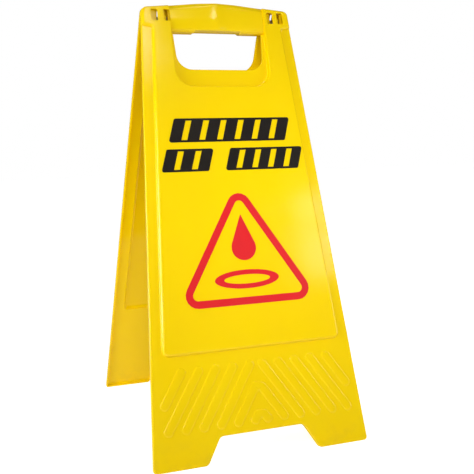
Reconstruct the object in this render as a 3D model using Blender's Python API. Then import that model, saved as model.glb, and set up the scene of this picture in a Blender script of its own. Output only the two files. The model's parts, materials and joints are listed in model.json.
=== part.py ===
"""Folding wet floor sign: two moulded trays hinged at the top, open as an A-frame.

Metres, +Z up. X runs across the sign, the front tray leans towards -Y, and the origin is on
the floor midway between the feet. Each tray is drawn in its own frame, whose origin is on the
hinge axis: X across, Z up the slope, and depth measured outwards along -Y. The bottoms of the
feet are cut level, and the tops of the two handles butt together as the stop when it is open.
"""

from math import asin, cos, hypot, pi, radians, sin, tan

import bmesh
import bpy
from mathutils import Matrix, Vector

MM = 0.001

# Overall
SLANT_LENGTH = 625 * MM      # shoulder line to the foot, down the border face
TOP_WIDTH = 217.6 * MM       # across the shoulders
BOTTOM_WIDTH = 302.6 * MM    # across the feet
OPEN_TILT = radians(16.5)    # each tray from vertical, standing open
WALL = 2.4 * MM
FOOT_WALL = 4.6 * MM         # thicker, because the sole is cut on the slant

# Depths, outwards from the plane in which the trays meet when folded
HINGE_DROP = 15 * MM         # shoulder line to the hinge axis
PARTING = 0.4 * MM           # tray rim to the folded meeting plane
BORDER_DEPTH = 6.8 * MM      # border face
FACE_RAISE = 5.0 * MM        # raised face above the border
STOP_GAP = 0.15 * MM         # each handle top to the middle plane when open

# Outline
CROWN_RISE = 10.7 * MM       # unrounded roof ridge above the shoulders
CROWN_RADIUS = 360 * MM
SHOULDER_SINK = 1.7 * MM     # shoulder corners below the shoulder line
SHOULDER_RADIUS = 9 * MM
FOOT_HEIGHT = 34.5 * MM      # sole to the arch between the feet
ARCH_TOP = 117 * MM          # arch width at the top
ARCH_FOOT = 157.6 * MM       # arch width at the sole
ARCH_RADIUS = 8 * MM
TOE_RADIUS = 9 * MM
HEEL_RADIUS = 5 * MM

# Raised face
FACE_MARGIN = 15 * MM        # side edge to the foot of the step
FACE_DRAFT = 4 * MM          # run of the step's slope
FACE_BOTTOM = 481.3 * MM     # shoulder line to the foot of the lower step
FACE_RADIUS = 9 * MM
BAND_BOTTOM = 28.5 * MM      # shoulder line to where the top band ends
BAND_FLARE = 2.5 * MM
BAND_RADIUS = 3 * MM
BAND_INSET = 0.6 * MM

# Handle: a through hole in a dished surround, under a rounded bar
DISH_HALF = 71 * MM
DISH_BOTTOM = 118.4 * MM
DISH_RADIUS = 26 * MM
DISH_DEPTH = 4.3 * MM        # dish floor from the folded meeting plane
DISH_DRAFT = 1.5 * MM
DISH_LIP = 0.5 * MM          # the dish's top below the hole's, so the two never meet flush
HOLE_SHELF = 5 * MM          # dish floor beside the hole
HOLE_HALF = DISH_HALF - HOLE_SHELF
HOLE_TOP = 36 * MM         # shoulder line to the bar's lower edge
HOLE_BOTTOM = 90.3 * MM
HOLE_RADIUS = 22 * MM
HOLE_TAPER = 3 * MM
GRIP_HALF = 33 * MM          # finger relief in the bar's lower edge
GRIP_RISE = 2 * MM
BAR_RADIUS = 108 * MM        # curve of the bar's front, seen from its end
BAR_CREST = 3 * MM           # height of the bar's crest above the hinge axis
BAR_SIDE_DROP = 1.2 * MM     # the bar's ends behind its middle

# Hinge, from behind the bar's end to the side. Places and widths are shares of its span.
# Both trays are one moulding: the rear one, turned round, has its lugs beside the front's.
HINGE_START = DISH_HALF - 3 * MM
HINGE_MARGIN = 7.3 * MM                           # side of the tray to the span's end
HINGE_SPAN = TOP_WIDTH / 2 - HINGE_MARGIN - HINGE_START
LUG_WIDTH = 0.212 * HINGE_SPAN
LUG_PLACES = {-1: (0, 0.703), 1: (0.273, 0.948)}      # on the tray's left and right
LUG_RADIUS = 5 * MM
LUG_SETBACK = 0.3 * MM                            # behind the border face
LUG_EASE = 0.1 * MM                               # the web's sides inside the eye's
LUG_ROOT = 0.75                                   # wall of the roof above the web's top
PIN_RADIUS = 2.5 * MM
PIN_CLEARANCE = 0.3 * MM
PIN_TAIL = 4.6 * MM                               # past the start
PIN_HEAD = 2.5 * MM                               # past the span's end
PIN_INNER = HINGE_START - PIN_TAIL
PIN_LENGTH = HINGE_SPAN + PIN_TAIL + PIN_HEAD
WINDOW_HEIGHT = 16.7 * MM
WINDOW_LIFT = 0.8 * MM
WINDOW_RADIUS = 1.6 * MM
WINDOW_WIDTH = 0.275 * HINGE_SPAN
WINDOW_PLACES = {-1: (0.173, 0.699), 1: (0.343, 0.803)}

# Chevron ribs above the arch
RIB_WIDTH = 12.5 * MM
RIB_RAISE = 1.0 * MM
RIB_TOP = 503 * MM           # shoulder line to the ribs' top line
RIB_BOTTOM = 576 * MM
RIB_FIRST = 9 * MM
RIB_PITCH = 23.6 * MM
RIB_LEAN = 0.65              # sideways run for each unit down the slope
RIB_MARGIN = 19 * MM         # side edge to the outer ribs' ends
RIB_COUNT = 7

# Vinyl signs on each raised face
FILM = 0.25 * MM
FILM_GAP = 0.2 * MM
STRIPE_UPPER = (-90 * MM, 90 * MM, 163.5 * MM, 197 * MM, 7)
STRIPE_SHORT = (-104 * MM, -27.5 * MM, 206.5 * MM, 238 * MM, 3)
STRIPE_LONG = (-13.5 * MM, 104.5 * MM, 206.5 * MM, 238 * MM, 5)
STRIPE_EDGE = 3 * MM
STRIPE_SLIT = 8.5 * MM
STRIPE_LEAN = 0.32
TRIANGLE_APEX = 254.6 * MM   # shoulder line to the unrounded apex
TRIANGLE_BASE = 423.3 * MM
TRIANGLE_SPREAD = 0.6        # half width for each unit of height
TRIANGLE_BAND = 10 * MM
TRIANGLE_RADIUS = 17 * MM
DROP_TIP = 300 * MM
DROP_CENTRE = 346 * MM
DROP_RADIUS = 17.5 * MM
RIPPLE_CENTRE = 389 * MM
RIPPLE_HALF = 46 * MM
RIPPLE_HEIGHT = 9.5 * MM
RIPPLE_BAND = 6.5 * MM

ARC_STEPS = 6
FACE_DEPTH = BORDER_DEPTH + FACE_RAISE
REACH = 60 * MM              # how far a cutter runs past what it cuts
HINGE_HEIGHT = (SLANT_LENGTH - HINGE_DROP) * cos(OPEN_TILT) - BORDER_DEPTH * sin(OPEN_TILT)
LEANING = Matrix.Translation((0, 0, HINGE_HEIGHT)) @ Matrix.Rotation(-OPEN_TILT, 4, "X")


def height(down):
    """Local Z of a place measured down the slope from the shoulder line."""
    return HINGE_DROP - down


def side_at(z):
    """Half the tray's width at a local height."""
    share = (HINGE_DROP - z) / SLANT_LENGTH
    return TOP_WIDTH / 2 + (BOTTOM_WIDTH - TOP_WIDTH) / 2 * share


# Outlines are lists of (x, z, corner radius), counter-clockwise as seen from outside.


def symmetric(half):
    """A closed outline from its +X half, which runs from the bottom up to the top."""
    other = [(-x, z, r) for x, z, r in reversed(half) if x > 0]
    return half + other


def grown(outline, by):
    """The outline moved outwards, by one distance or by one for each edge."""
    count = len(outline)
    moves = by if isinstance(by, list) else [by] * count
    edges = []
    for i, (x, z, _) in enumerate(outline):
        nx, nz, _ = outline[(i + 1) % count]
        length = hypot(nx - x, nz - z)
        out = Vector(((nz - z) / length, -(nx - x) / length))
        edges.append((Vector((x, z)) + out * moves[i], Vector((nx - x, nz - z))))
    moved = []
    for i, (_, _, radius) in enumerate(outline):
        start, along = edges[i - 1]
        other, other_along = edges[i]
        cross = along.x * other_along.y - along.y * other_along.x
        offset = other - start
        t = (offset.x * other_along.y - offset.y * other_along.x) / cross
        corner = start + along * t
        turn = 1 if cross > 0 else -1
        change = turn * (moves[i - 1] + moves[i]) / 2
        moved.append((corner.x, corner.y, max(radius + change, 0.2 * MM) if radius else 0))
    return moved


def rounded(outline):
    """Points of an outline, with an arc at each corner that has a radius."""
    points = []
    count = len(outline)
    for i, (x, z, radius) in enumerate(outline):
        here = Vector((x, z))
        if not radius:
            points.append(here)
            continue
        before = (Vector(outline[i - 1][:2]) - here).normalized()
        after = (Vector(outline[(i + 1) % count][:2]) - here).normalized()
        half_angle = before.angle(after) / 2
        centre = here + (before + after).normalized() * (radius / sin(half_angle))
        start = here + before * (radius / tan(half_angle)) - centre
        end = here + after * (radius / tan(half_angle)) - centre
        sweep = start.angle_signed(end)
        for step in range(ARC_STEPS + 1):
            turn = Matrix.Rotation(-sweep * step / ARC_STEPS, 2)
            points.append(centre + turn @ start)
    return points


def make_object(name, points, faces):
    """A mesh object from points and faces, with its faces turned outwards."""
    mesh = bpy.data.meshes.new(name)
    mesh.from_pydata([tuple(p) for p in points], [], faces)
    shape = bmesh.new()
    shape.from_mesh(mesh)
    bmesh.ops.remove_doubles(shape, verts=shape.verts, dist=1e-7)
    bmesh.ops.recalc_face_normals(shape, faces=shape.faces)
    shape.to_mesh(mesh)
    shape.free()
    result = bpy.data.objects.new(name, mesh)
    bpy.context.scene.collection.objects.link(result)
    return result


def stack(name, layers):
    """A closed solid through (outline, depth) layers that have the same number of points."""
    loops = [rounded(outline) for outline, _ in layers]
    count = len(loops[0])
    points = [(p.x, -depth, p.y) for loop, (_, depth) in zip(loops, layers) for p in loop]
    faces = [list(range(count)), list(range(len(points) - count, len(points)))]
    for layer in range(len(layers) - 1):
        low = layer * count
        for i in range(count):
            j = (i + 1) % count
            faces.append([low + i, low + j, low + count + j, low + count + i])
    return make_object(name, points, faces)


def across(name, profiles):
    """A closed solid through (x, [(depth, z), ...]) profiles, one after another along X."""
    count = len(profiles[0][1])
    points = [(x, -depth, z) for x, profile in profiles for depth, z in profile]
    faces = [list(range(count)), list(range(len(points) - count, len(points)))]
    for layer in range(len(profiles) - 1):
        low = layer * count
        for i in range(count):
            j = (i + 1) % count
            faces.append([low + i, low + j, low + count + j, low + count + i])
    return make_object(name, points, faces)


def combine(target, operation, operands):
    """Adds the operands to the target, or cuts them out of it, and clears them away."""
    for operand in operands:
        modifier = target.modifiers.new("combine", "BOOLEAN")
        modifier.operation = operation
        modifier.solver = "EXACT"
        modifier.object = operand
        bpy.context.view_layer.update()
        evaluated = target.evaluated_get(bpy.context.evaluated_depsgraph_get())
        mesh = bpy.data.meshes.new_from_object(evaluated)
        target.modifiers.clear()
        target.data = mesh
        bpy.data.objects.remove(operand)
    return target


def box_between(name, low, high):
    """A box between two corners."""
    corners = [(x, y, z) for x in (low[0], high[0]) for y in (low[1], high[1])
               for z in (low[2], high[2])]
    faces = [[0, 1, 3, 2], [4, 6, 7, 5], [0, 4, 5, 1], [2, 3, 7, 6], [0, 2, 6, 4], [1, 5, 7, 3]]
    return make_object(name, corners, faces)


def tray_outline():
    sole = height(SLANT_LENGTH)
    shoulder = height(SHOULDER_SINK)
    return symmetric([
        (ARCH_TOP / 2, sole + FOOT_HEIGHT, ARCH_RADIUS),
        (ARCH_FOOT / 2, sole, TOE_RADIUS),
        (side_at(sole), sole, HEEL_RADIUS),
        (side_at(shoulder), shoulder, SHOULDER_RADIUS),
        (0, shoulder + CROWN_RISE, CROWN_RADIUS),
    ])


def tray_room():
    """Outline of the hollow behind the border, with a thicker wall over each sole."""
    inward = [-WALL, -FOOT_WALL, -WALL, -WALL, -WALL, -WALL, -FOOT_WALL, -WALL, -WALL]
    return grown(tray_outline(), inward)


def face_outline():
    """Foot of the step: the raised face, which widens at its top into the hinge band."""
    bottom = height(FACE_BOTTOM)
    neck = height(BAND_BOTTOM)
    shoulder = height(SHOULDER_SINK) - BAND_INSET
    return symmetric([
        (side_at(bottom) - FACE_MARGIN, bottom, FACE_RADIUS),
        (side_at(neck) - FACE_MARGIN, neck - BAND_FLARE, BAND_RADIUS),
        (side_at(neck) - BAND_INSET, neck, BAND_RADIUS),
        (side_at(shoulder) - BAND_INSET, shoulder, SHOULDER_RADIUS - BAND_INSET),
        (0, shoulder + CROWN_RISE, CROWN_RADIUS),
    ])


def hole_outline():
    top, bottom = height(HOLE_TOP), height(HOLE_BOTTOM)
    return symmetric([
        (HOLE_HALF - HOLE_TAPER, bottom, HOLE_RADIUS),
        (HOLE_HALF, top, 0),
        (GRIP_HALF + GRIP_RISE, top, 0),
        (GRIP_HALF, top + GRIP_RISE, 0),
    ])


def dish_outline():
    return symmetric([
        (DISH_HALF, height(DISH_BOTTOM), DISH_RADIUS),
        (DISH_HALF, height(HOLE_TOP) - DISH_LIP, 0),
    ])


def bar_front(name, half, back):
    """All that lies in front of the bar's curved face, moved back by a distance."""
    low, high = height(HOLE_TOP) - WALL, REACH
    heights = [low + (high - low) * i / (2 * ARC_STEPS) for i in range(2 * ARC_STEPS + 1)]
    sections = []
    for x in (-half, 0, half):
        drop = BAR_SIDE_DROP * abs(x) / half + back
        arc = []
        for z in heights:
            rise = min(abs(z - BAR_CREST), BAR_RADIUS)
            arc.append((FACE_DEPTH - drop - BAR_RADIUS + (BAR_RADIUS ** 2 - rise ** 2) ** 0.5, z))
        sections.append((x, arc + [(REACH, high), (REACH, low)]))
    return across(name, sections)


def handle_room(room):
    """Leaves the walls of the handle's hole, dish and bar standing in the tray's hollow."""
    hole = grown(hole_outline(), WALL)
    dish = grown(dish_outline(), [WALL, WALL / 2, WALL, WALL])
    hole_wall = stack("hole wall", [(hole, -REACH), (hole, REACH)])
    dish_wall = stack("dish wall", [(dish, DISH_DEPTH - WALL), (dish, REACH)])
    bar_wall = bar_front("bar wall", DISH_HALF + WALL, WALL)
    return combine(room, "DIFFERENCE", [hole_wall, dish_wall, bar_wall])


def tray_hollow():
    """Everything inside the tray's walls, open at the back."""
    border = tray_room()
    face = face_outline()
    room = stack("border room", [(border, -REACH), (border, BORDER_DEPTH - WALL)])
    step = 0.55 * FACE_DRAFT
    face_room = stack("face room", [
        (grown(face, -1.3 * WALL), -REACH / 2),
        (grown(face, -1.3 * WALL), BORDER_DEPTH - 0.7 * WALL),
        (grown(face, -1.3 * WALL - step), FACE_DEPTH - 1.35 * WALL),
        (grown(face, -1.1 * WALL - FACE_DRAFT), FACE_DEPTH - WALL),
    ])
    return handle_room(combine(room, "UNION", [face_room]))


def tray_shell():
    """The moulding without its hinge: border tray, raised face, handle and dish."""
    edge = tray_outline()
    face = face_outline()
    shell = stack("shell", [(edge, PARTING), (edge, BORDER_DEPTH)])
    raised = stack("raised", [
        (face, BORDER_DEPTH / 2),
        (face, BORDER_DEPTH),
        (grown(face, -0.55 * FACE_DRAFT), FACE_DEPTH - 0.28 * FACE_RAISE),
        (grown(face, -FACE_DRAFT), FACE_DEPTH),
    ])
    combine(shell, "UNION", [raised])
    dish = dish_outline()
    drafted = grown(dish, [-DISH_DRAFT, 0, -DISH_DRAFT, -DISH_DRAFT])
    dish_cut = stack("dish cut", [(drafted, DISH_DEPTH), (dish, REACH)])
    bar_cut = bar_front("bar cut", DISH_HALF, 0)
    combine(shell, "DIFFERENCE", [tray_hollow(), bar_cut, dish_cut])
    hole = hole_outline()
    return combine(shell, "DIFFERENCE", [stack("hole", [(hole, -REACH), (hole, REACH)])])


def level_cuts():
    """The floor under the sole, and the space past the middle plane that the other handle has."""
    half = BOTTOM_WIDTH
    floor = box_between("floor", (-half, -half, -REACH), (half, half, 0))
    stop = box_between("stop", (-half, -STOP_GAP, HINGE_HEIGHT - REACH / 2),
                       (half, REACH, HINGE_HEIGHT + REACH))
    for cutter in (floor, stop):
        cutter.data.transform(LEANING.inverted())
    return [floor, stop]


def lug_web(x):
    """The plate of a hinge lug behind the face, standing in the tray and rooted in its roof."""
    half = LUG_WIDTH / 2 - LUG_EASE
    shoulder = height(SHOULDER_SINK)
    roof = shoulder + CROWN_RISE * (1 - (abs(x) + half) / side_at(shoulder))
    front, top = BORDER_DEPTH - LUG_SETBACK, roof - LUG_ROOT * WALL
    profile = [(PARTING, -LUG_RADIUS), (PARTING, top), (front, top), (front, -LUG_RADIUS)]
    return across("lug web", [(x - half, profile), (x + half, profile)])


def lug_eye(x):
    """The rounded end of a hinge lug, about the hinge axis."""
    root = BORDER_DEPTH - 2 * LUG_SETBACK
    profile = [(root, -LUG_RADIUS)]
    for step in range(2 * ARC_STEPS + 1):
        angle = pi * step / (2 * ARC_STEPS)
        profile.append((-LUG_RADIUS * sin(angle), -LUG_RADIUS * cos(angle)))
    profile.append((root, LUG_RADIUS))
    return across("lug eye", [(x - LUG_WIDTH / 2, profile), (x + LUG_WIDTH / 2, profile)])


def rod(name, x_from, x_to, radius, sides=24):
    """A round bar along the hinge axis."""
    ring = [(radius * cos(2 * pi * i / sides), radius * sin(2 * pi * i / sides))
            for i in range(sides)]
    return across(name, [(x_from, ring), (x_to, ring)])


def window(x):
    half_width, half_height = WINDOW_WIDTH / 2, WINDOW_HEIGHT / 2
    frame = [(x - half_width, WINDOW_LIFT - half_height, WINDOW_RADIUS),
             (x + half_width, WINDOW_LIFT - half_height, WINDOW_RADIUS),
             (x + half_width, WINDOW_LIFT + half_height, WINDOW_RADIUS),
             (x - half_width, WINDOW_LIFT + half_height, WINDOW_RADIUS)]
    return stack("window", [(frame, BORDER_DEPTH), (frame, REACH)])


def leg(index):
    """Ends of a chevron's right leg on its centre line, and whether it meets the left one."""
    z_low, z_high = height(RIB_BOTTOM), height(RIB_TOP)
    x_low = RIB_FIRST + RIB_PITCH * index
    reach = side_at(z_low) - RIB_MARGIN
    if x_low > reach:
        z_low += (x_low - reach) / RIB_LEAN
        x_low = reach
    z_apex = z_low + x_low / RIB_LEAN
    meets = z_apex < z_high + RIB_WIDTH
    z_high = z_apex if meets else z_high
    return Vector((x_low, z_low)), Vector((x_low - (z_high - z_low) * RIB_LEAN, z_high)), meets


def chevron(index):
    """One chevron of round-ended legs: a single pad, or two where they stop short of the middle."""
    low, high, meets = leg(index)
    along = (high - low).normalized()
    aside = Vector((along.y, -along.x)) * RIB_WIDTH / 2
    end = 0.49 * RIB_WIDTH
    low = low - along * RIB_WIDTH / 2
    if meets:
        apex = RIB_WIDTH / 2 / abs(along.x)
        inner, outer = low - aside, low + aside
        outlines = [[(inner.x, inner.y, end), (outer.x, outer.y, end), (0, high.y + apex, end),
                     (-outer.x, outer.y, end), (-inner.x, inner.y, end),
                     (0, high.y - apex, RIB_RAISE)]]
    else:
        high = high + along * RIB_WIDTH / 2
        right = [low - aside, low + aside, high + aside, high - aside]
        outlines = [[(p.x, p.y, end) for p in right],
                    [(-p.x, p.y, end) for p in reversed(right)]]
    depths = (BORDER_DEPTH - WALL / 3, BORDER_DEPTH + RIB_RAISE)
    return [stack("rib", [(outline, depth) for depth in depths]) for outline in outlines]


def material(name, colour, roughness, metallic=0.0):
    made = bpy.data.materials.new(name)
    made.use_nodes = True
    shader = made.node_tree.nodes["Principled BSDF"]
    shader.inputs["Base Color"].default_value = (*colour, 1)
    shader.inputs["Roughness"].default_value = roughness
    shader.inputs["Metallic"].default_value = metallic
    return made


def along_hinge(share):
    return HINGE_START + HINGE_SPAN * share


def tray(name, axis):
    """One tray with its hinge lugs and windows."""
    sides = (-1, 1)
    lugs = [s * along_hinge(place) for s in sides for place in LUG_PLACES[s]]
    body = combine(tray_shell(), "UNION", [lug_web(x) for x in lugs])
    combine(body, "DIFFERENCE", level_cuts())
    combine(body, "UNION", [lug_eye(x) for x in lugs])
    bore = PIN_RADIUS + PIN_CLEARANCE
    inner, outer = PIN_INNER - PIN_CLEARANCE, PIN_INNER + PIN_LENGTH + PIN_CLEARANCE
    bores = [rod("bore", s * inner, s * outer, bore) for s in sides]
    openings = [window(s * along_hinge(place)) for s in sides for place in WINDOW_PLACES[s]]
    combine(body, "DIFFERENCE", bores + openings)
    combine(body, "UNION", [pad for i in range(RIB_COUNT) for pad in chevron(i)])
    body.name = name
    body.data.name = name
    body.data.materials.clear()
    body.data.materials.append(PLASTIC)
    body.parent = axis
    return body


def hinge_pin(name, side, axis):
    pin = rod(name, side * PIN_INNER, side * (PIN_INNER + PIN_LENGTH), PIN_RADIUS)
    pin.data.materials.append(PIN_PLASTIC)
    pin.data.shade_smooth()
    pin.data.set_sharp_from_angle(angle=radians(40))
    pin.parent = axis
    return pin


def film(name, outline, holes, ink, axis):
    """A cut piece of vinyl lying on the raised face."""
    low = FACE_DEPTH + FILM_GAP
    piece = stack(name, [(outline, low), (outline, low + FILM)])
    cutters = [stack("slit", [(hole, low - REACH), (hole, low + REACH)]) for hole in holes]
    combine(piece, "DIFFERENCE", cutters)
    piece.data.materials.clear()
    piece.data.materials.append(ink)
    piece.parent = axis
    return piece


def stripe_board(name, board, axis):
    """A block of slanted bars held together by a thin strip along the top and bottom."""
    left, right, top, bottom, bars = board
    low, high = height(bottom), height(top)
    lean = STRIPE_LEAN * (high - low)
    outline = [(left, low, STRIPE_EDGE), (right - lean, low, STRIPE_EDGE),
               (right, high, STRIPE_EDGE), (left + lean, high, STRIPE_EDGE)]
    pitch = (right - left - lean + STRIPE_SLIT) / bars
    inner_low, inner_high = low + STRIPE_EDGE, high - STRIPE_EDGE
    slits = []
    for i in range(1, bars):
        x = left + pitch * i - STRIPE_SLIT
        shift_low = lean * (inner_low - low) / (high - low)
        shift_high = lean * (inner_high - low) / (high - low)
        slits.append([(x + shift_low, inner_low, 0), (x + shift_low + STRIPE_SLIT, inner_low, 0),
                      (x + shift_high + STRIPE_SLIT, inner_high, 0), (x + shift_high, inner_high, 0)])
    return film(name, outline, slits, BLACK_VINYL, axis)


def warning_triangle(name, axis):
    base, apex = height(TRIANGLE_BASE), height(TRIANGLE_APEX)
    half = TRIANGLE_SPREAD * (apex - base)
    outer = [(-half, base, TRIANGLE_RADIUS), (half, base, TRIANGLE_RADIUS),
             (0, apex, TRIANGLE_RADIUS)]
    return film(name, outer, [grown(outer, -TRIANGLE_BAND)], RED_VINYL, axis)


def warning_drop(name, axis):
    """A water drop: an arc about its centre that closes in tangents to the tip."""
    centre, tip = height(DROP_CENTRE), height(DROP_TIP)
    open_half = pi / 2 - asin(DROP_RADIUS / (tip - centre))
    steps = 4 * ARC_STEPS
    loop = [(0, tip, 0)]
    for i in range(steps + 1):
        angle = pi / 2 + open_half + (2 * pi - 2 * open_half) * i / steps
        loop.append((DROP_RADIUS * cos(angle), centre + DROP_RADIUS * sin(angle), 0))
    return film(name, loop, [], RED_VINYL, axis)


def ellipse(half_width, half_height, centre):
    steps = 6 * ARC_STEPS
    return [(half_width * cos(2 * pi * i / steps), centre + half_height * sin(2 * pi * i / steps), 0)
            for i in range(steps)]


def warning_ripple(name, axis):
    """The ring of a ripple under the drop."""
    centre = height(RIPPLE_CENTRE)
    outer = ellipse(RIPPLE_HALF, RIPPLE_HEIGHT + RIPPLE_BAND / 2, centre)
    inner = ellipse(RIPPLE_HALF - 2 * RIPPLE_BAND, RIPPLE_HEIGHT - RIPPLE_BAND / 2, centre)
    return film(name, outer, [inner], RED_VINYL, axis)


def hinge_axis(name, turn):
    """The empty on the hinge axis that carries one tray, leaning at the open tilt."""
    axis = bpy.data.objects.new(name, None)
    bpy.context.scene.collection.objects.link(axis)
    axis.matrix_world = Matrix.Rotation(turn, 4, "Z") @ LEANING
    bpy.context.view_layer.update()
    return axis


for leftover in list(bpy.data.objects):
    bpy.data.objects.remove(leftover)

PLASTIC = material("yellow polypropylene", (0.94, 0.73, 0.01), 0.28)
PIN_PLASTIC = material("pin nylon", (0.16, 0.13, 0.08), 0.45)
BLACK_VINYL = material("black vinyl", (0.012, 0.011, 0.010), 0.35)
RED_VINYL = material("red vinyl", (0.80, 0.018, 0.022), 0.35)

front_axis = hinge_axis("front axis", 0)
rear_axis = hinge_axis("rear axis", pi)
tray("front_panel", front_axis)
tray("rear_panel", rear_axis)
hinge_pin("left_hinge_pin", -1, front_axis)
hinge_pin("right_hinge_pin", 1, front_axis)
for face, axis in (("front", front_axis), ("rear", rear_axis)):
    stripe_board(face + "_upper_stripes", STRIPE_UPPER, axis)
    stripe_board(face + "_lower_stripes_short", STRIPE_SHORT, axis)
    stripe_board(face + "_lower_stripes_long", STRIPE_LONG, axis)
    warning_triangle(face + "_warning_triangle", axis)
    warning_drop(face + "_warning_drop", axis)
    warning_ripple(face + "_warning_ripple", axis)
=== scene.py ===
import json
from math import atan, copysign, cos, exp, hypot, pi, radians, sin, sqrt, tan

import bmesh
import bpy
from mathutils import Matrix, Vector


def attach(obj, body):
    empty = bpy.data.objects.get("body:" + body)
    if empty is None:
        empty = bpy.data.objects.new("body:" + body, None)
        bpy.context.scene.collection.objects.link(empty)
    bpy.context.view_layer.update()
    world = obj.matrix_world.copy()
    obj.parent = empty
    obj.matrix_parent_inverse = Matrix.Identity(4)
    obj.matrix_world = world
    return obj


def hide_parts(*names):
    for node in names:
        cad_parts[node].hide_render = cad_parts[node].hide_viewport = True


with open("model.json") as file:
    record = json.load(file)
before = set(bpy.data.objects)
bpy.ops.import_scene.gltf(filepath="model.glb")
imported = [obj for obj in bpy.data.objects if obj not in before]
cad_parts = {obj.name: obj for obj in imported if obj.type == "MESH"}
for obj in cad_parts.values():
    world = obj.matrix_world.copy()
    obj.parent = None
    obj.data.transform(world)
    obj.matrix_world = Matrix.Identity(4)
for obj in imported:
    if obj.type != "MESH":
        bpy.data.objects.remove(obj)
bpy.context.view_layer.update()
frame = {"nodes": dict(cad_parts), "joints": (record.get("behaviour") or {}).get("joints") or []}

# A folding floor sign: two moulded trays, hinged at the top, with vinyl warning graphics.
# Trays are drawn in millimetres in their own frame, whose origin is on the hinge axis:
# X across, Z up the slope, and depth outwards along -Y. placeOf carries them to metres.

mm = 0.001
joint = frame["joints"][0]
openTilt = radians(-joint["range_deg"][0]) / 2
tilted = Matrix.Rotation(-openTilt, 4, "X")
leaning = Matrix.Translation(joint["pos_m"]) @ tilted @ Matrix.Scale(mm, 4)
placeOf = {"front": leaning, "rear": Matrix.Rotation(pi, 4, "Z") @ leaning}

arcSteps = 10        # pieces in each rounded corner
rollSteps = 5        # pieces in each rounded edge
reach = 60           # how far a cutter runs past what it cuts
leastRadius = 0.2    # of a rounded corner, however far its outline is drawn in
drawnWeld = 1e-4     # corners closer than this are one, in millimetres while a piece is drawn
placedWeld = 2e-6    # and in metres once it is placed

noiseSpan = {"From Min": 0.3, "From Max": 0.7}    # nearly all of a noise pattern lies between them


def linear(hexColour):
    channels = [int(hexColour[i:i + 2], 16) / 255 for i in (1, 3, 5)]
    return (*[c / 12.92 if c <= 0.04045 else ((c + 0.055) / 1.055) ** 2.4 for c in channels], 1)


def addNode(tree, kind, inputs=None, **settings):
    # an input is a value, the socket that feeds it, or a node whose first output does
    node = tree.nodes.new(kind)
    for key, value in settings.items():
        setattr(node, key, value)
    for key, value in (inputs or {}).items():
        if isinstance(value, bpy.types.Node):
            value = value.outputs[0]
        if isinstance(value, bpy.types.NodeSocket):
            tree.links.new(value, node.inputs[key])
        else:
            node.inputs[key].default_value = value
    return node


def newMaterial(name):
    made = bpy.data.materials.new(name)
    made.use_nodes = True
    tree = made.node_tree
    tree.nodes.clear()
    return made, tree, addNode(tree, "ShaderNodeTexCoord").outputs["Object"]


def perMetre(wavelength):
    # the scale of a noise pattern whose patches are a wavelength in millimetres apart
    return 1 / (wavelength * mm)


# In every look, waves, patches and depths are in millimetres.
# A Mix node takes its two colours at inputs 6 and 7 and gives the result at output 2.
plasticLook = {
    "body": "#fcd800", "flow": "#f9d300", "flowWave": 90, "flowStretch": (1, 1, 0.35),
    "grime": "#b99a3c", "grimeTop": 45, "grimePatch": 22, "grimeMost": 0.22,
    "roughPatch": 35, "roughLow": 0.1, "roughHigh": 0.16,
    "sinkWave": 70, "sinkDepth": 0.05, "peelWave": 7, "peelDepth": 0.004,
    "ior": 1.49, "glow": 0.06, "glowSpread": (1.0, 0.6, 0.1), "glowReach": 2.5,
}


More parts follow.
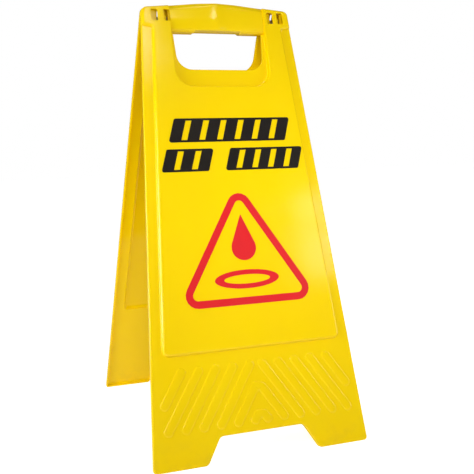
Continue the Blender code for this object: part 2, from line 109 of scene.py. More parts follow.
def mouldedPolypropylene():
    # Injection-moulded polypropylene: deep even colour, a glossy skin that is never quite flat,
    # and light that goes a little way in, so edges glow instead of going dark.
    look = plasticLook
    made, tree, place = newMaterial("moulded polypropylene")
    drawn = addNode(tree, "ShaderNodeMapping", {"Vector": place, "Scale": look["flowStretch"]})
    flow = addNode(tree, "ShaderNodeTexNoise", {
        "Vector": drawn, "Scale": perMetre(look["flowWave"]), "Detail": 3})
    paler = addNode(tree, "ShaderNodeMapRange", {"Value": flow, **noiseSpan})
    clean = addNode(tree, "ShaderNodeMix", {
        0: paler, 6: linear(look["body"]), 7: linear(look["flow"])}, data_type="RGBA")
    # grime gathers in patches towards the feet
    up = addNode(tree, "ShaderNodeSeparateXYZ", {"Vector": place}).outputs["Z"]
    low = addNode(tree, "ShaderNodeMapRange", {
        "Value": up, "From Min": 0, "From Max": look["grimeTop"] * mm, "To Min": 1, "To Max": 0})
    dust = addNode(tree, "ShaderNodeTexNoise", {
        "Vector": place, "Scale": perMetre(look["grimePatch"]), "Detail": 5, "Roughness": 0.7})
    patches = addNode(tree, "ShaderNodeMapRange", {
        "Value": dust, "From Min": 0.45, "From Max": 0.75, "To Min": 0, "To Max": look["grimeMost"]})
    dirty = addNode(tree, "ShaderNodeMath", {0: low, 1: patches}, operation="MULTIPLY")
    colour = addNode(tree, "ShaderNodeMix", {
        0: dirty, 6: clean.outputs[2], 7: linear(look["grime"])}, data_type="RGBA")
    haze = addNode(tree, "ShaderNodeTexNoise", {
        "Vector": place, "Scale": perMetre(look["roughPatch"]), "Detail": 4, "Roughness": 0.6})
    gloss = addNode(tree, "ShaderNodeMapRange", {
        "Value": haze, **noiseSpan, "To Min": look["roughLow"], "To Max": look["roughHigh"]})
    sag = addNode(tree, "ShaderNodeTexNoise", {
        "Vector": place, "Scale": perMetre(look["sinkWave"]), "Detail": 1})
    sink = addNode(tree, "ShaderNodeBump", {"Height": sag, "Distance": look["sinkDepth"] * mm})
    skin = addNode(tree, "ShaderNodeTexNoise", {
        "Vector": place, "Scale": perMetre(look["peelWave"]), "Detail": 2})
    peel = addNode(tree, "ShaderNodeBump", {
        "Height": skin, "Distance": look["peelDepth"] * mm, "Normal": sink})
    shader = addNode(tree, "ShaderNodeBsdfPrincipled", {
        "Base Color": colour.outputs[2], "Roughness": gloss, "Normal": peel, "IOR": look["ior"],
        "Subsurface Weight": look["glow"], "Subsurface Radius": look["glowSpread"],
        "Subsurface Scale": look["glowReach"] * mm})
    addNode(tree, "ShaderNodeOutputMaterial", {"Surface": shader})
    return made


vinylLook = {
    "black": "#17120f", "blackFaded": "#241d18", "red": "#e4181f", "redFaded": "#d9232a",
    "cloudPatch": 45, "fadedMost": 0.5, "roughPatch": 12, "roughLow": 0.3, "roughHigh": 0.42,
    "pressWave": 55, "pressDepth": 0.05, "grainWave": 3, "grainDepth": 0.003, "ior": 1.5,
}


def cutVinyl(ink):
    # Die-cut sign vinyl: flat satin film, colour a shade uneven, with a faint pressed-on ripple.
    look = vinylLook
    made, tree, place = newMaterial(ink + " cut vinyl")
    cloud = addNode(tree, "ShaderNodeTexNoise", {
        "Vector": place, "Scale": perMetre(look["cloudPatch"]), "Detail": 3})
    faded = addNode(tree, "ShaderNodeMapRange", {
        "Value": cloud, **noiseSpan, "To Max": look["fadedMost"]})
    colour = addNode(tree, "ShaderNodeMix", {
        0: faded, 6: linear(look[ink]), 7: linear(look[ink + "Faded"])}, data_type="RGBA")
    haze = addNode(tree, "ShaderNodeTexNoise", {
        "Vector": place, "Scale": perMetre(look["roughPatch"]), "Detail": 4})
    gloss = addNode(tree, "ShaderNodeMapRange", {
        "Value": haze, **noiseSpan, "To Min": look["roughLow"], "To Max": look["roughHigh"]})
    press = addNode(tree, "ShaderNodeTexNoise", {
        "Vector": place, "Scale": perMetre(look["pressWave"]), "Detail": 1})
    pressed = addNode(tree, "ShaderNodeBump", {"Height": press, "Distance": look["pressDepth"] * mm})
    grain = addNode(tree, "ShaderNodeTexNoise", {
        "Vector": place, "Scale": perMetre(look["grainWave"]), "Detail": 2})
    grained = addNode(tree, "ShaderNodeBump", {
        "Height": grain, "Distance": look["grainDepth"] * mm, "Normal": pressed})
    shader = addNode(tree, "ShaderNodeBsdfPrincipled", {
        "Base Color": colour.outputs[2], "Roughness": gloss, "Normal": grained, "IOR": look["ior"]})
    addNode(tree, "ShaderNodeOutputMaterial", {"Surface": shader})
    return made


nylonLook = {
    "pale": "#8a7a55", "dark": "#6f6040", "ringWave": 1.5, "ringStretch": (1, 0.02, 0.02),
    "ringDepth": 0.02, "roughLow": 0.4, "roughHigh": 0.55, "ior": 1.53,
}


def turnedNylon():
    # Nylon rod: dull, slightly waxy, with fine rings left by the parting tool.
    look = nylonLook
    made, tree, place = newMaterial("turned nylon")
    drawn = addNode(tree, "ShaderNodeMapping", {"Vector": place, "Scale": look["ringStretch"]})
    rings = addNode(tree, "ShaderNodeTexNoise", {
        "Vector": drawn, "Scale": perMetre(look["ringWave"]), "Detail": 1})
    darker = addNode(tree, "ShaderNodeMapRange", {"Value": rings, **noiseSpan})
    colour = addNode(tree, "ShaderNodeMix", {
        0: darker, 6: linear(look["pale"]), 7: linear(look["dark"])}, data_type="RGBA")
    gloss = addNode(tree, "ShaderNodeMapRange", {
        "Value": rings, **noiseSpan, "To Min": look["roughLow"], "To Max": look["roughHigh"]})
    turned = addNode(tree, "ShaderNodeBump", {"Height": rings, "Distance": look["ringDepth"] * mm})
    shader = addNode(tree, "ShaderNodeBsdfPrincipled", {
        "Base Color": colour.outputs[2], "Roughness": gloss, "Normal": turned, "IOR": look["ior"]})
    addNode(tree, "ShaderNodeOutputMaterial", {"Surface": shader})
    return made


plastic = mouldedPolypropylene()
blackVinyl = cutVinyl("black")
redVinyl = cutVinyl("red")
nylon = turnedNylon()
print("materials made")

tray = {    # heights are told as distances down the slope from the tray's top
    "slant": 625, "topWidth": 217.6, "bottomWidth": 302.6, "wall": 2.4, "footWall": 4.6,
    "depth": 6.8, "edgeRound": 1.9, "rimRound": 0.6,
    "hingeDrop": 15, "parting": 0.4, "stopGap": 0.15,
    "crownRise": 10.7, "crownRadius": 360, "shoulderSink": 1.7, "shoulderRadius": 9,
    "archHeight": 34.5, "archTop": 117, "archFoot": 157.6, "archRadius": 8, "toeRadius": 9,
    "heelRadius": 5,
}
raised = {
    "raise": 5.0, "margin": 15, "draft": 4, "bottom": 481.3, "radius": 9, "footFillet": 0.9,
    "bandBottom": 28.5, "bandFlare": 2.5, "bandRadius": 3, "bandInset": 0.6,
    "buried": 0.01,    # how far the block's foot is sunk in the tray, so that the two join
}
faceDepth = tray["depth"] + raised["raise"]


# An outline is a list of (x, z, corner radius), counter-clockwise as seen from outside.


def height(down):
    return tray["hingeDrop"] - down


def sideAt(z):
    share = (tray["hingeDrop"] - z) / tray["slant"]
    return tray["topWidth"] / 2 + (tray["bottomWidth"] - tray["topWidth"]) / 2 * share


def symmetric(half):
    # an outline's right half with its mirror image
    return half + [(-x, z, r) for x, z, r in reversed(half) if x > 0]


def grown(outline, by):
    # moves an outline's edges outwards, by one distance or one for each edge
    count = len(outline)
    moves = by if isinstance(by, list) else [by] * count
    edges = []
    for i, (x, z, _) in enumerate(outline):
        nextX, nextZ, _ = outline[(i + 1) % count]
        length = hypot(nextX - x, nextZ - z)
        out = Vector(((nextZ - z) / length, -(nextX - x) / length))
        edges.append((Vector((x, z)) + out * moves[i], Vector((nextX - x, nextZ - z))))
    moved = []
    for i, (_, _, radius) in enumerate(outline):
        start, along = edges[i - 1]
        other, otherAlong = edges[i]
        cross = along.x * otherAlong.y - along.y * otherAlong.x
        offset = other - start
        t = (offset.x * otherAlong.y - offset.y * otherAlong.x) / cross
        corner = start + along * t
        turn = 1 if cross > 0 else -1
        change = turn * (moves[i - 1] + moves[i]) / 2
        moved.append((corner.x, corner.y, max(radius + change, leastRadius) if radius else 0))
    return moved


def rounded(outline):
    # the points of an outline, with its corners drawn as arcs
    points = []
    count = len(outline)
    for i, (x, z, radius) in enumerate(outline):
        here = Vector((x, z))
        if not radius:
            points.append(here)
            continue
        before = (Vector(outline[i - 1][:2]) - here).normalized()
        after = (Vector(outline[(i + 1) % count][:2]) - here).normalized()
        halfAngle = before.angle(after) / 2
        centre = here + (before + after).normalized() * (radius / sin(halfAngle))
        start = here + before * (radius / tan(halfAngle)) - centre
        end = here + after * (radius / tan(halfAngle)) - centre
        sweep = start.angle_signed(end)
        for step in range(arcSteps + 1):
            points.append(centre + Matrix.Rotation(-sweep * step / arcSteps, 2) @ start)
    return points


def scaled(moves, share):
    # a share of one distance, or of each in a list
    return [move * share for move in moves] if isinstance(moves, list) else moves * share


def quarter():
    # (sine, 1 - cosine) of angles from 0 to 90 degrees
    angles = [pi / 2 * i / rollSteps for i in range(rollSteps + 1)]
    return [(sin(a), 1 - cos(a)) for a in angles]


def newObject(name, points, faces):
    mesh = bpy.data.meshes.new(name)
    mesh.from_pydata([tuple(p) for p in points], [], faces)
    shape = bmesh.new()
    shape.from_mesh(mesh)
    bmesh.ops.remove_doubles(shape, verts=shape.verts, dist=drawnWeld)
    bmesh.ops.recalc_face_normals(shape, faces=shape.faces)
    shape.to_mesh(mesh)
    shape.free()
    made = bpy.data.objects.new(name, mesh)
    bpy.context.scene.collection.objects.link(made)
    return made


def skinned(name, loops):
    # a closed solid through loops of points that have the same count
    count = len(loops[0])
    points = [p for loop in loops for p in loop]
    faces = [list(range(count)), list(range(len(points) - count, len(points)))]
    for low in range(0, len(points) - count, count):
        for i in range(count):
            j = (i + 1) % count
            faces.append([low + i, low + j, low + count + j, low + count + i])
    return newObject(name, points, faces)


def stack(name, layers):
    # a closed solid through outlines at their depths
    return skinned(name, [[(p.x, -depth, p.y) for p in rounded(outline)] for outline, depth in layers])


def across(name, profiles):
    # a closed solid through profiles of (depth, z) at their places across the sign
    return skinned(name, [[(x, -depth, z) for depth, z in profile] for x, profile in profiles])


def combine(target, operation, operands):
    # each operand in turn is joined to the target or cut from it, and used up
    for operand in operands:
        modifier = target.modifiers.new("combine", "BOOLEAN")
        modifier.operation = operation
        modifier.solver = "EXACT"
        modifier.object = operand
        bpy.context.view_layer.update()
        evaluated = target.evaluated_get(bpy.context.evaluated_depsgraph_get())
        mesh = bpy.data.meshes.new_from_object(evaluated)
        target.modifiers.clear()
        target.data = mesh
        bpy.data.objects.remove(operand)
    return target


def boxBetween(name, low, high):
    (lowX, lowY, lowZ), (highX, highY, highZ) = low, high
    loops = [[(x, lowY, lowZ), (x, highY, lowZ), (x, highY, highZ), (x, lowY, highZ)]
             for x in (lowX, highX)]
    return skinned(name, loops)


def trayOutline():
    sole, shoulder = height(tray["slant"]), height(tray["shoulderSink"])
    return symmetric([
        (tray["archTop"] / 2, sole + tray["archHeight"], tray["archRadius"]),
        (tray["archFoot"] / 2, sole, tray["toeRadius"]),
        (sideAt(sole), sole, tray["heelRadius"]),
        (sideAt(shoulder), shoulder, tray["shoulderRadius"]),
        (0, shoulder + tray["crownRise"], tray["crownRadius"]),
    ])


def faceOutline():
    bottom, neck = height(raised["bottom"]), height(raised["bandBottom"])
    inset = raised["bandInset"]
    shoulder = height(tray["shoulderSink"]) - inset
    return symmetric([
        (sideAt(bottom) - raised["margin"], bottom, raised["radius"]),
        (sideAt(neck) - raised["margin"], neck - raised["bandFlare"], raised["bandRadius"]),
        (sideAt(neck) - inset, neck, raised["bandRadius"]),
        (sideAt(shoulder) - inset, shoulder, tray["shoulderRadius"] - inset),
        (0, shoulder + tray["crownRise"], tray["crownRadius"]),
    ])


def roofAt(x):
    # local height of the tray's rounded roof line
    half = sideAt(height(tray["shoulderSink"]))
    slope = atan(tray["crownRise"] / half)
    ridge = height(tray["shoulderSink"]) + tray["crownRise"]
    if abs(x) < tray["crownRadius"] * sin(slope):
        return ridge - tray["crownRadius"] / cos(slope) + sqrt(tray["crownRadius"] ** 2 - x * x)
    return ridge - tan(slope) * abs(x)


handle = {
    "holeHalf": 66, "holeTop": 36, "holeBottom": 90.3, "holeRadius": 22, "holeTaper": 3,
    "holeRound": 1.1, "gripHalf": 33, "gripRise": 2,
    "dishHalf": 71, "dishBottom": 118.4, "dishRadius": 26, "dishDepth": 4.3, "dishDraft": 1.5,
    "dishRound": 1.4, "dishFillet": 2.0,
    "dishLip": 0.5,         # how far the dish's top lies below the hole's
    "dishDraftTop": 0.9,    # share of the dish's draft that is left at its front edge
    "barHalf": 70.2, "barRadius": 108, "barCrest": 3, "sideDrop": 1.2, "ridge": 7,
    "fold": 0.8, "foldHalf": 7,
    "lowerRoll": 4.5, "roofWide": 4.5, "roofFlare": 3.5, "roofFall": 0.42,
    "columns": 12, "crowding": 1.5,    # how the bar's face is divided across, closest at its middle
}


def holeOutline():
    top, bottom = height(handle["holeTop"]), height(handle["holeBottom"])
    return symmetric([
        (handle["holeHalf"] - handle["holeTaper"], bottom, handle["holeRadius"]),
        (handle["holeHalf"], top, 0),
        (handle["gripHalf"] + handle["gripRise"], top, 0),
        (handle["gripHalf"], top + handle["gripRise"], 0),
    ])


def dishOutline():
    return symmetric([
        (handle["dishHalf"], height(handle["dishBottom"]), handle["dishRadius"]),
        (handle["dishHalf"], height(handle["holeTop"]) - handle["dishLip"], 0),
    ])


def roofWidth(x):
    return handle["roofWide"] + handle["roofFlare"] * abs(x) / handle["barHalf"]


def barDepth(x, z):
    # the bar's face: bowed up and down, a soft ridge in the middle, rolled under, sloped at the roof
    bow = min(abs(z - handle["barCrest"]), handle["barRadius"])
    depth = faceDepth - handle["barRadius"] + sqrt(handle["barRadius"] ** 2 - bow ** 2)
    aside = hypot(x, handle["ridge"]) - handle["ridge"]
    depth -= handle["sideDrop"] * aside / handle["barHalf"]
    depth -= handle["fold"] * (1 - exp(-(x / handle["foldHalf"]) ** 2))
    roll = handle["lowerRoll"]
    short = roll - min(max(z - height(handle["holeTop"]), 0), roll)
    depth -= roll - sqrt(roll ** 2 - short ** 2)
    return depth - handle["roofFall"] * max(roofWidth(x) - (roofAt(x) - z), 0)


def barFront(name, half, back):
    # all that lies in front of the bar's face, moved back by a distance
    profiles = []
    low, roll, columns = height(handle["holeTop"]), handle["lowerRoll"], handle["columns"]
    for i in range(-columns, columns + 1):
        x = copysign(half * (abs(i) / columns) ** handle["crowding"], i)
        crease = roofAt(x) - roofWidth(x)
        start = low + roll
        zs = [low - tray["wall"]] + [low + roll * rise for _, rise in quarter()]
        zs += [start + (crease - start) * (step + 1) / arcSteps for step in range(arcSteps)]
        zs += [crease + roofWidth(x) * (step + 1) / 3 for step in range(5)]    # and past the roof
        profile = [(barDepth(x, z) - back, z) for z in zs]
        profiles.append((x, profile + [(reach, zs[-1]), (reach, zs[0])]))
    return across(name, profiles)


hollow = {
    "round": 1, "faceInset": 1.3, "faceFloor": 0.7,
    # how the room behind the raised face narrows: inset in walls and in drafts, and walls to the front
    "steps": ((1.3, 0.3, 1.9), (1.35, 0.7, 1.15), (1.5, 1, 1)),
}


def trayHollow():
    # everything inside the walls, open at the back
    wall, footWall, ease = tray["wall"], tray["footWall"], hollow["round"]
    inward = [-wall, -footWall, -wall, -wall, -wall, -wall, -footWall, -wall, -wall]
    border, face = grown(trayOutline(), inward), faceOutline()
    start = tray["depth"] - wall - ease
    room = stack("border room", [(border, -reach), (border, start)]
                 + [(grown(border, -ease * rise), start + ease * out) for out, rise in quarter()[1:]])
    throat = grown(face, -hollow["faceInset"] * wall)
    layers = [(throat, -reach / 2), (throat, tray["depth"] - hollow["faceFloor"] * wall)]
    for walls, drafts, under in hollow["steps"]:
        inner = grown(face, -walls * wall - drafts * raised["draft"])
        layers.append((inner, faceDepth - under * wall))
    faceRoom = stack("face room", layers)
    hole = grown(holeOutline(), wall)
    dish = grown(dishOutline(), [wall, wall / 2, wall, wall])
    walls = [
        stack("hole wall", [(hole, -reach), (hole, reach)]),
        stack("dish wall", [(dish, handle["dishDepth"] - wall), (dish, reach)]),
        barFront("bar wall", handle["barHalf"] + wall, wall),
    ]
    return combine(combine(room, "UNION", [faceRoom]), "DIFFERENCE", walls)


def raisedFace():
    face = faceOutline()
    fillet, inset = raised["footFillet"], raised["bandInset"] / 2
    flare = [fillet, fillet, inset, inset, inset, inset, fillet, fillet, fillet]
    buried = raised["buried"]
    layers = [(grown(face, flare), tray["depth"] / 2)]
    for out, rise in quarter():
        layers.append((grown(face, scaled(flare, 1 - out)), tray["depth"] - buried + fillet * rise))
    wallRise = raised["raise"] - fillet + buried
    for out, rise in quarter()[1:]:
        layers.append((grown(face, -raised["draft"] * rise), faceDepth - wallRise * (1 - out)))
    return stack("raised", layers)


def dishCut():
    dish = dishOutline()
    floor, fillet, edge = handle["dishDepth"], handle["dishFillet"], handle["dishRound"]
    draft = handle["dishDraft"]
    top = handle["dishDraftTop"] * draft
    steps = [(draft + fillet * (1 - out), floor + fillet * rise) for out, rise in quarter()]
    steps += [(top - edge * rise, faceDepth - edge * (1 - out)) for out, rise in quarter()]
    steps.append((top - edge, reach))
    return stack("dish cut", [(grown(dish, [-inset, 0, -inset, -inset]), depth)
                              for inset, depth in steps])


def holeCut():
    hole, edge = holeOutline(), handle["holeRound"]
    sides = [edge, 0, 0, 0, 0, 0, edge, edge]    # the bar's edge keeps its own roll
    layers = [(hole, -reach)]
    layers += [(grown(hole, scaled(sides, rise)), handle["dishDepth"] - edge * (1 - out))
               for out, rise in quarter()]
    return stack("hole", layers + [(grown(hole, sides), reach)])


def trayShell():
    edge = trayOutline()
    rim, roll = tray["rimRound"], tray["edgeRound"]
    layers = [(grown(edge, -rim * (1 - out)), tray["parting"] + rim * rise)
              for out, rise in quarter()]
    layers += [(grown(edge, -roll * rise), tray["depth"] - roll * (1 - out))
               for out, rise in quarter()]
    shell = combine(stack("shell", layers), "UNION", [raisedFace()])
    cuts = [trayHollow(), barFront("bar cut", handle["barHalf"], 0), dishCut(), holeCut()]
    return combine(shell, "DIFFERENCE", cuts)


def levelCuts():
    # the floor under the sole, and the space past the middle plane that the other handle has
    half, top = tray["bottomWidth"] * mm, joint["pos_m"][2]
    far = reach * mm
    floor = boxBetween("floor", (-half, -half, -far), (half, half, 0))
    stop = boxBetween("stop", (-half, -tray["stopGap"] * mm, top - far / 2), (half, far, top + far))
    for cutter in (floor, stop):
        cutter.data.transform(leaning.inverted())
    return [floor, stop]


hinge = {
    # Places are shares of the span, which runs out from behind the end of the bar. The two sides
    # differ, so that one tray's lugs stand beside the other's when it is turned round.
    "start": 68, "span": 33.5,
    "lugWidth": 7.1, "lugRadius": 5, "lugSetback": 0.3, "lugEase": 0.35, "lugRoot": 0.75,
    "lugPlaces": {-1: (0, 0.703), 1: (0.273, 0.948)},
    "pinRadius": 2.5, "clearance": 0.3, "pinTail": 4.6, "pinHead": 2.5,
    "windowWidth": 9.2, "windowHeight": 16.7, "windowLift": 0.8,
    "windowRadius": 1.8, "windowRound": 0.6,
    "windowPlaces": {-1: (0.173, 0.699), 1: (0.343, 0.803)},
}


def alongHinge(share):
    return hinge["start"] + hinge["span"] * share


def lugWeb(x):
    # the plate of a hinge lug behind the face, rooted in the tray's roof
    half, foot = hinge["lugWidth"] / 2 - hinge["lugEase"], -hinge["lugRadius"]
    top = roofAt(abs(x) + half) - hinge["lugRoot"] * tray["wall"]
    front = tray["depth"] - hinge["lugSetback"]
    profile = [(tray["parting"], foot), (tray["parting"], top), (front, top), (front, foot)]
    return across("lug web", [(x - half, profile), (x + half, profile)])


def lugEye(x):
    # the rounded end of a lug about the hinge axis, with its rim eased
    half, ease = hinge["lugWidth"] / 2, hinge["lugEase"]
    root = tray["depth"] - 2 * hinge["lugSetback"]
    profiles = []
    for place, less in ((-half, ease), (ease - half, 0), (half - ease, 0), (half, ease)):
        size = hinge["lugRadius"] - less
        turn = [pi * step / (2 * arcSteps) for step in range(2 * arcSteps + 1)]
        arc = [(-size * sin(a), -size * cos(a)) for a in turn]
        profiles.append((x + place, [(root, -size)] + arc + [(root, size)]))
    return across("lug eye", profiles)


def bore(side):
    # the pin's way through the lugs, on one side of the sign
    radius = hinge["pinRadius"] + hinge["clearance"]
    sides = 4 * arcSteps
    ring = [(radius * cos(2 * pi * i / sides), radius * sin(2 * pi * i / sides)) for i in range(sides)]
    inner = hinge["start"] - hinge["pinTail"] - hinge["clearance"]
    outer = hinge["start"] + hinge["span"] + hinge["pinHead"] + hinge["clearance"]
    return across("bore", [(side * inner, ring), (side * outer, ring)])


def window(x):
    # a rounded opening in the face, before the hinge
    low, half = hinge["windowLift"] - hinge["windowHeight"] / 2, hinge["windowWidth"] / 2
    high = low + hinge["windowHeight"]
    radius, edge = hinge["windowRadius"], hinge["windowRound"]
    frameLine = [(x - half, low, radius), (x + half, low, radius),
                 (x + half, high, radius), (x - half, high, radius)]
    layers = [(frameLine, tray["depth"])]
    layers += [(grown(frameLine, edge * rise), faceDepth - edge * (1 - out))
               for out, rise in quarter()]
    return stack("window", layers + [(grown(frameLine, edge), reach)])


def finished(piece, name, side, material, sharp=38):
    # places a piece in its mesh, shades it by angle, in degrees, and evens the shading on its flats
    mesh = piece.data
    mesh.transform(placeOf[side])
    shape = bmesh.new()
    shape.from_mesh(mesh)
    bmesh.ops.remove_doubles(shape, verts=shape.verts, dist=placedWeld)
    bmesh.ops.recalc_face_normals(shape, faces=shape.faces)
    shape.to_mesh(mesh)
    shape.free()
    mesh.materials.clear()
    mesh.materials.append(material)
    mesh.shade_smooth()
    mesh.set_sharp_from_angle(angle=radians(sharp))
    modifier = piece.modifiers.new("even shading", "WEIGHTED_NORMAL")
    modifier.keep_sharp = True
    modifier.weight = 100
    bpy.context.view_layer.update()
    evaluated = piece.evaluated_get(bpy.context.evaluated_depsgraph_get())
    piece.data = bpy.data.meshes.new_from_object(evaluated)
    piece.modifiers.clear()
    piece.name = piece.data.name = name
    return piece


def hingedTray():
    # both trays are this one moulding, the rear one turned round
    lugs = [s * alongHinge(place) for s in (-1, 1) for place in hinge["lugPlaces"][s]]
    body = combine(trayShell(), "UNION", [lugWeb(x) for x in lugs])
    combine(body, "DIFFERENCE", levelCuts())
    combine(body, "UNION", [lugEye(x) for x in lugs])
    openings = [window(s * alongHinge(place)) for s in (-1, 1)
                for place in hinge["windowPlaces"][s]]
    return combine(body, "DIFFERENCE", [bore(-1), bore(1)] + openings)


moulded = hingedTray()
print("tray moulded:", len(moulded.data.polygons), "faces")
for side in ("front", "rear"):
    copy = newObject(side, [], [])
    copy.data = moulded.data.copy()
    moulding = finished(copy, side + "_moulded_tray", side, plastic)
    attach(moulding, side)
    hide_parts(side + "_panel")
    print(side, "tray finished")
bpy.data.objects.remove(moulded)

chevron = {
    "width": 12.5, "raise": 1.0, "top": 503, "bottom": 576, "first": 9, "pitch": 23.6,
    "lean": 0.65, "margin": 19, "count": 7, "step": 1.5, "sides": 20, "apex": 5,
    "fullness": 0.7,    # under 1 gives the pads flatter tops and steeper sides
    "tip": 0.02,        # a rib's width at its very end, as a share of the whole
}


def ribLines():
    # centre lines of the ribs out to their tips, drawn flat: X across, Y up the slope
    points, edges = [], []
    low, high = height(chevron["bottom"]), height(chevron["top"])
    tip = Vector((chevron["lean"], -1, 0)).normalized() * chevron["width"] / 2
    reachAside = sideAt(low) - chevron["margin"]
    for index in range(chevron["count"]):
        x, z = chevron["first"] + chevron["pitch"] * index, low
        if x > reachAside:
            z += (x - reachAside) / chevron["lean"]
            x = reachAside
        apex = z + x / chevron["lean"]
        count = len(points)
        foot = Vector((x, z, 0)) + tip
        mirrored = Vector((-foot.x, foot.y, 0))
        if apex < high + chevron["width"]:
            points += [foot, (0, apex, 0), mirrored]
            edges += [(count, count + 1), (count + 1, count + 2)]
        else:
            head = Vector((x - (high - z) * chevron["lean"], high, 0)) - tip
            points += [foot, head, mirrored, (-head.x, head.y, 0)]
            edges += [(count, count + 1), (count + 2, count + 3)]
    return points, edges


def ribTree():
    # sweeps a low rounded pad along each line and tapers it off at both ends
    tree = bpy.data.node_groups.new("chevron ribs", "GeometryNodeTree")
    face = tree.interface
    face.new_socket("Geometry", in_out="INPUT", socket_type="NodeSocketGeometry")
    for name in ("Rib Width", "Rib Raise", "Step", "Apex Radius"):
        face.new_socket(name, in_out="INPUT", socket_type="NodeSocketFloat")
    face.new_socket("Material", in_out="INPUT", socket_type="NodeSocketMaterial")
    face.new_socket("Geometry", in_out="OUTPUT", socket_type="NodeSocketGeometry")

    given = addNode(tree, "NodeGroupInput").outputs
    lines = addNode(tree, "GeometryNodeMeshToCurve", {"Mesh": given["Geometry"]})
    eased = addNode(tree, "GeometryNodeFilletCurve", {
        "Curve": lines, "Radius": given["Apex Radius"], "Limit Radius": True}, mode="POLY")
    fine = addNode(tree, "GeometryNodeResampleCurve", {
        "Curve": eased, "Length": given["Step"]}, mode="LENGTH")

    # a rib narrows as a half circle does over the last half width to each end
    along = addNode(tree, "GeometryNodeSplineParameter").outputs["Length"]
    length = addNode(tree, "GeometryNodeSplineLength").outputs["Length"]
    half = addNode(tree, "ShaderNodeMath", {0: given["Rib Width"], 1: 2.0}, operation="DIVIDE")
    ahead = addNode(tree, "ShaderNodeMath", {0: length, 1: along}, operation="SUBTRACT")
    toEnd = addNode(tree, "ShaderNodeMath", {0: along, 1: ahead}, operation="MINIMUM")
    share = addNode(tree, "ShaderNodeMath", {0: toEnd, 1: half}, operation="DIVIDE")
    near = addNode(tree, "ShaderNodeMath", {0: share, 1: 1.0}, operation="MINIMUM")
    short = addNode(tree, "ShaderNodeMath", {0: 1.0, 1: near}, operation="SUBTRACT")
    square = addNode(tree, "ShaderNodeMath", {0: short, 1: short}, operation="MULTIPLY")
    rest = addNode(tree, "ShaderNodeMath", {0: 1.0, 1: square}, operation="SUBTRACT")
    root = addNode(tree, "ShaderNodeMath", {0: rest}, operation="SQRT")
    dome = addNode(tree, "ShaderNodeMath", {0: root, 1: chevron["tip"]}, operation="MAXIMUM")
    ring = addNode(tree, "GeometryNodeCurvePrimitiveCircle", {
        "Resolution": chevron["sides"], "Radius": half})
    pad = addNode(tree, "GeometryNodeCurveToMesh", {
        "Curve": fine, "Profile Curve": ring, "Scale": dome, "Fill Caps": True})

    # the round pad is flattened, its upper half and its lower half alike
    place = addNode(tree, "GeometryNodeInputPosition")
    parts = addNode(tree, "ShaderNodeSeparateXYZ", {0: place}).outputs
    rise = addNode(tree, "ShaderNodeMath", {0: parts["Z"], 1: half}, operation="DIVIDE")
    size = addNode(tree, "ShaderNodeMath", {0: rise}, operation="ABSOLUTE")
    full = addNode(tree, "ShaderNodeMath", {0: size, 1: chevron["fullness"]}, operation="POWER")
    way = addNode(tree, "ShaderNodeMath", {0: rise}, operation="SIGN")
    level = addNode(tree, "ShaderNodeMath", {0: full, 1: way}, operation="MULTIPLY")
    depth = addNode(tree, "ShaderNodeMath", {0: level, 1: given["Rib Raise"]}, operation="MULTIPLY")
    flat = addNode(tree, "ShaderNodeCombineXYZ", {"X": parts["X"], "Y": parts["Y"], "Z": depth})
    moved = addNode(tree, "GeometryNodeSetPosition", {"Geometry": pad, "Position": flat})
    whole = addNode(tree, "GeometryNodeRealizeInstances", {"Geometry": moved})
    coated = addNode(tree, "GeometryNodeSetMaterial", {
        "Geometry": whole, "Material": given["Material"]})
    addNode(tree, "NodeGroupOutput", {"Geometry": coated})
    return tree


def setInputs(modifier, values):
    # a modifier knows its inputs by their sockets' identifiers
    for item in modifier.node_group.interface.items_tree:
        if item.item_type == "SOCKET" and item.in_out == "INPUT" and item.name in values:
            modifier[item.identifier] = values[item.name]


def chevronRibs(side, tree):
    points, edges = ribLines()
    mesh = bpy.data.meshes.new("rib lines")
    mesh.from_pydata(points, edges, [])
    piece = bpy.data.objects.new("rib lines", mesh)
    bpy.context.scene.collection.objects.link(piece)
    modifier = piece.modifiers.new("ribs", "NODES")
    modifier.node_group = tree
    setInputs(modifier, {
        "Rib Width": float(chevron["width"]), "Rib Raise": chevron["raise"],
        "Step": chevron["step"], "Apex Radius": float(chevron["apex"]), "Material": plastic})
    bpy.context.view_layer.update()
    evaluated = piece.evaluated_get(bpy.context.evaluated_depsgraph_get())
    piece.data = bpy.data.meshes.new_from_object(evaluated)
    piece.modifiers.clear()
    upright = Matrix.Translation((0, -tray["depth"], 0)) @ Matrix.Rotation(pi / 2, 4, "X")
    piece.data.transform(upright)
    return finished(piece, side + "_chevron_ribs", side, plastic, sharp=60)


ribs = ribTree()
for side in ("front", "rear"):
    pads = chevronRibs(side, ribs)
    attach(pads, side)
    print(side, "ribs made:", len(pads.data.polygons), "faces")

# the vinyl and the pins keep their solids and get their finishes
for name, node in frame["nodes"].items():
    if "stripes" in name:
        node.material_slots[0].material = blackVinyl
    elif "warning" in name:
        node.material_slots[0].material = redVinyl
    elif "pin" in name:
        node.material_slots[0].material = nylon
print("finishes given")

shot = {    # angles in degrees, the lens and the film's width in millimetres
    "place": (-0.3418, -1.0612, 0.4284), "turn": -19.17, "pitch": -8.13, "roll": 0.99,
    "lens": 57.36, "film": 36,
}


def makeCamera():
    data = bpy.data.cameras.new("camera")
    data.lens = shot["lens"]
    data.sensor_width = shot["film"]
    camera = bpy.data.objects.new("camera", data)
    turned = Matrix.Rotation(radians(shot["turn"]), 4, "Z")
    turned @= Matrix.Rotation(radians(shot["pitch"]), 4, "X")
    turned @= Matrix.Rotation(radians(shot["roll"]), 4, "Y")
    turned @= Matrix.Rotation(pi / 2, 4, "X")
    camera.matrix_world = Matrix.Translation(shot["place"]) @ turned
    bpy.context.scene.collection.objects.link(camera)
    bpy.context.scene.camera = camera


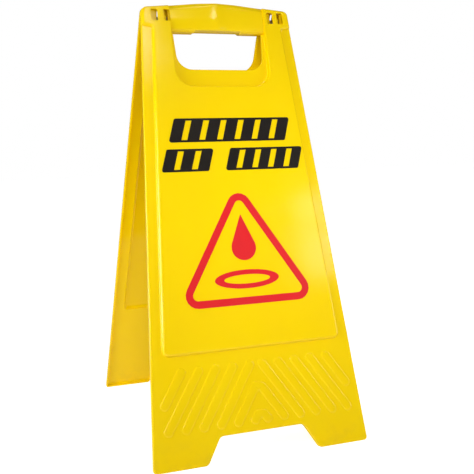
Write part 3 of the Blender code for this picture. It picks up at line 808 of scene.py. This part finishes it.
board = {
    "half": 6, "white": "#fbfbfa", "cloud": "#f9f9f7", "cloudPatch": 400,
    "roughness": 0.9, "shine": 0.1,
    "lift": 0.75,    # a glow that only the camera sees keeps the board as pale as the backdrop
}


def makeFloor():
    # Matt-coated board: white and dull, very slightly clouded.
    made, tree, place = newMaterial("matt white board")
    cloud = addNode(tree, "ShaderNodeTexNoise", {
        "Vector": place, "Scale": perMetre(board["cloudPatch"]), "Detail": 2})
    darker = addNode(tree, "ShaderNodeMapRange", {"Value": cloud, **noiseSpan})
    colour = addNode(tree, "ShaderNodeMix", {
        0: darker, 6: linear(board["white"]), 7: linear(board["cloud"])}, data_type="RGBA")
    seen = addNode(tree, "ShaderNodeLightPath").outputs["Is Camera Ray"]
    lift = addNode(tree, "ShaderNodeMath", {0: seen, 1: board["lift"]}, operation="MULTIPLY")
    shader = addNode(tree, "ShaderNodeBsdfPrincipled", {
        "Base Color": colour.outputs[2], "Roughness": board["roughness"],
        "Specular IOR Level": board["shine"],
        "Emission Color": linear("#ffffff"), "Emission Strength": lift})
    addNode(tree, "ShaderNodeOutputMaterial", {"Surface": shader})
    half = board["half"]
    corners = [(-half, -half, 0), (half, -half, 0), (half, half, 0), (-half, half, 0)]
    mesh = bpy.data.meshes.new("floor")
    mesh.from_pydata(corners, [], [(0, 1, 2, 3)])
    mesh.materials.append(made)
    floor = bpy.data.objects.new("floor", mesh)
    bpy.context.scene.collection.objects.link(floor)


studio = {
    "ambient": (0.56, 0.14),    # the white all round, at the horizon and overhead
    "mirrored": 0.06,           # the same as the gloss reflects it
    # place, aim, (width, height), watts
    "boxes": {
        "left box": ((-1.45, -0.6, 0.8), (0, 0.08, 0.5), (0.6, 0.8), 9),
        "inside fill": ((-1.3, -0.24, 0.55), (-0.1, 0.06, 0.5), (0.3, 0.5), 5),
        "right box": ((1.5, -0.9, 0.5), (0, -0.05, 0.3), (0.4, 0.9), 6.5),
        "window upper pane": ((0.98, -1.73, 1.13), (0.1, -0.1, 0.32), (0.17, 0.13), 0.22),
        "window lower pane": ((0.99, -1.79, 0.96), (0.1, -0.1, 0.26), (0.16, 0.17), 0.36),
        "roof strip": ((0.5, -0.77, 2.36), (0, 0, 0.585), (0.12, 0.89), 1.2),
        "fold strip": ((0.277, -1.361, 2.02), (0, 0, 0.585), (0.06, 0.8), 1.5),
    },
    # the key: a soft-edged pool on the middle of the sign, from behind and above the camera, so
    # that the face doesn't mirror it
    "spot": {
        "place": (-0.3, -2.05, 0.85), "aim": (0.07, -0.12, 0.33), "cone": 21, "watts": 110,
        "radius": 0.3,
    },
}


def aimed(data, name, place, aim):
    light = bpy.data.objects.new(name, data)
    light.location = place
    light.rotation_euler = (Vector(aim) - Vector(place)).to_track_quat("-Z", "Y").to_euler()
    bpy.context.scene.collection.objects.link(light)
    return light


def makeLights():
    for name, (place, aim, (width, tall), watts) in studio["boxes"].items():
        data = bpy.data.lights.new(name, "AREA")
        data.shape = "RECTANGLE"
        data.size, data.size_y = width, tall
        data.energy = watts
        aimed(data, name, place, aim)
    spot = studio["spot"]
    data = bpy.data.lights.new("key", "SPOT")
    data.energy = spot["watts"]
    data.spot_size = radians(spot["cone"])
    data.spot_blend = 1.0
    data.shadow_soft_size = spot["radius"]
    aimed(data, "key", spot["place"], spot["aim"]).visible_glossy = False


def makeWorld():
    # diffuse light from all round, a dim one in the gloss, and plain white behind the sign
    world = bpy.data.worlds.new("studio")
    bpy.context.scene.world = world
    world.use_nodes = True
    tree = world.node_tree
    tree.nodes.clear()
    ray = addNode(tree, "ShaderNodeLightPath").outputs
    toward = addNode(tree, "ShaderNodeTexCoord").outputs["Generated"]
    up = addNode(tree, "ShaderNodeSeparateXYZ", {0: toward}).outputs["Z"]
    horizon, overhead = studio["ambient"]
    soft = addNode(tree, "ShaderNodeMapRange", {
        "Value": up, "From Min": 0, "From Max": 1, "To Min": horizon, "To Max": overhead})
    fall = addNode(tree, "ShaderNodeMath", {0: studio["mirrored"], 1: soft}, operation="SUBTRACT")
    level = addNode(tree, "ShaderNodeMath", {0: ray["Is Glossy Ray"], 1: fall, 2: soft},
                    operation="MULTIPLY_ADD")
    seen = addNode(tree, "ShaderNodeMath", {0: level, 1: ray["Is Camera Ray"]}, operation="MAXIMUM")
    back = addNode(tree, "ShaderNodeBackground", {"Color": linear("#ffffff"), "Strength": seen})
    addNode(tree, "ShaderNodeOutputWorld", {"Surface": back})


makeCamera()
makeFloor()
makeLights()
makeWorld()
bpy.context.scene.view_settings.view_transform = "Standard"
print("studio set")
